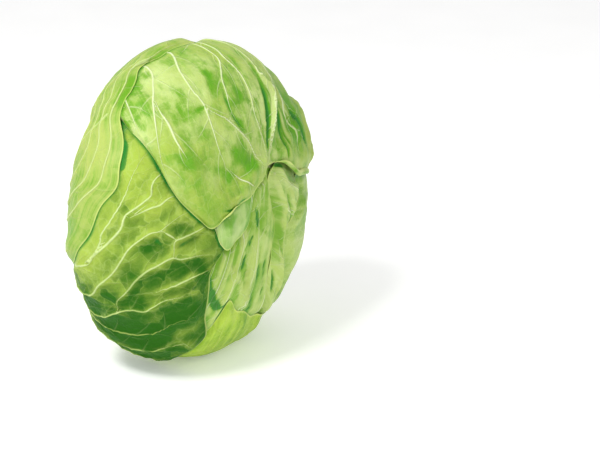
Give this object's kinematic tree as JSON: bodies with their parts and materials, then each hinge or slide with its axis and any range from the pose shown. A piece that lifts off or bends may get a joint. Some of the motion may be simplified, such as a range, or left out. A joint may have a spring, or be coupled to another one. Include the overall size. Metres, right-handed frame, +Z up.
{
  "type": "flat cabbage",
  "caption": "Whole head of flat cabbage lying on its rim: ribbed wrapper leaves with waved margins, folded over one another round a dense heart, and a short cut stem.",
  "frame": {"origin": "on the small flat spot that the head lies on, straight below the head's middle", "axes": "+Z up; +Y along the stem, out of its cut end, so the crown faces -Y and rises 3 degrees; +X to the right as the crown is looked at"},
  "size_m": [0.2142, 0.136, 0.207],
  "materials": {
    "heart": "pale waxy leaf flesh",
    "stem": "cut stem, moist and pale",
    "crown_leaf": "pale waxy leaf, fine white veins",
    "side_leaf": "yellow-green waxy leaf",
    "dark_leaf": "deep green waxy leaf, raised pale ribs",
    "top_leaf": "light green waxy leaf, pale ribs"
  },
  "bodies": {
    "root": {"heart": "heart", "stem": "stem", "leaf_crown_lower": "crown_leaf", "leaf_crown_right": "crown_leaf", "leaf_right": "side_leaf", "leaf_bottom": "side_leaf", "leaf_lower_left": "dark_leaf", "leaf_under_top": "crown_leaf", "leaf_top": "top_leaf", "leaf_left": "top_leaf"}
  },
  "joints": []
}
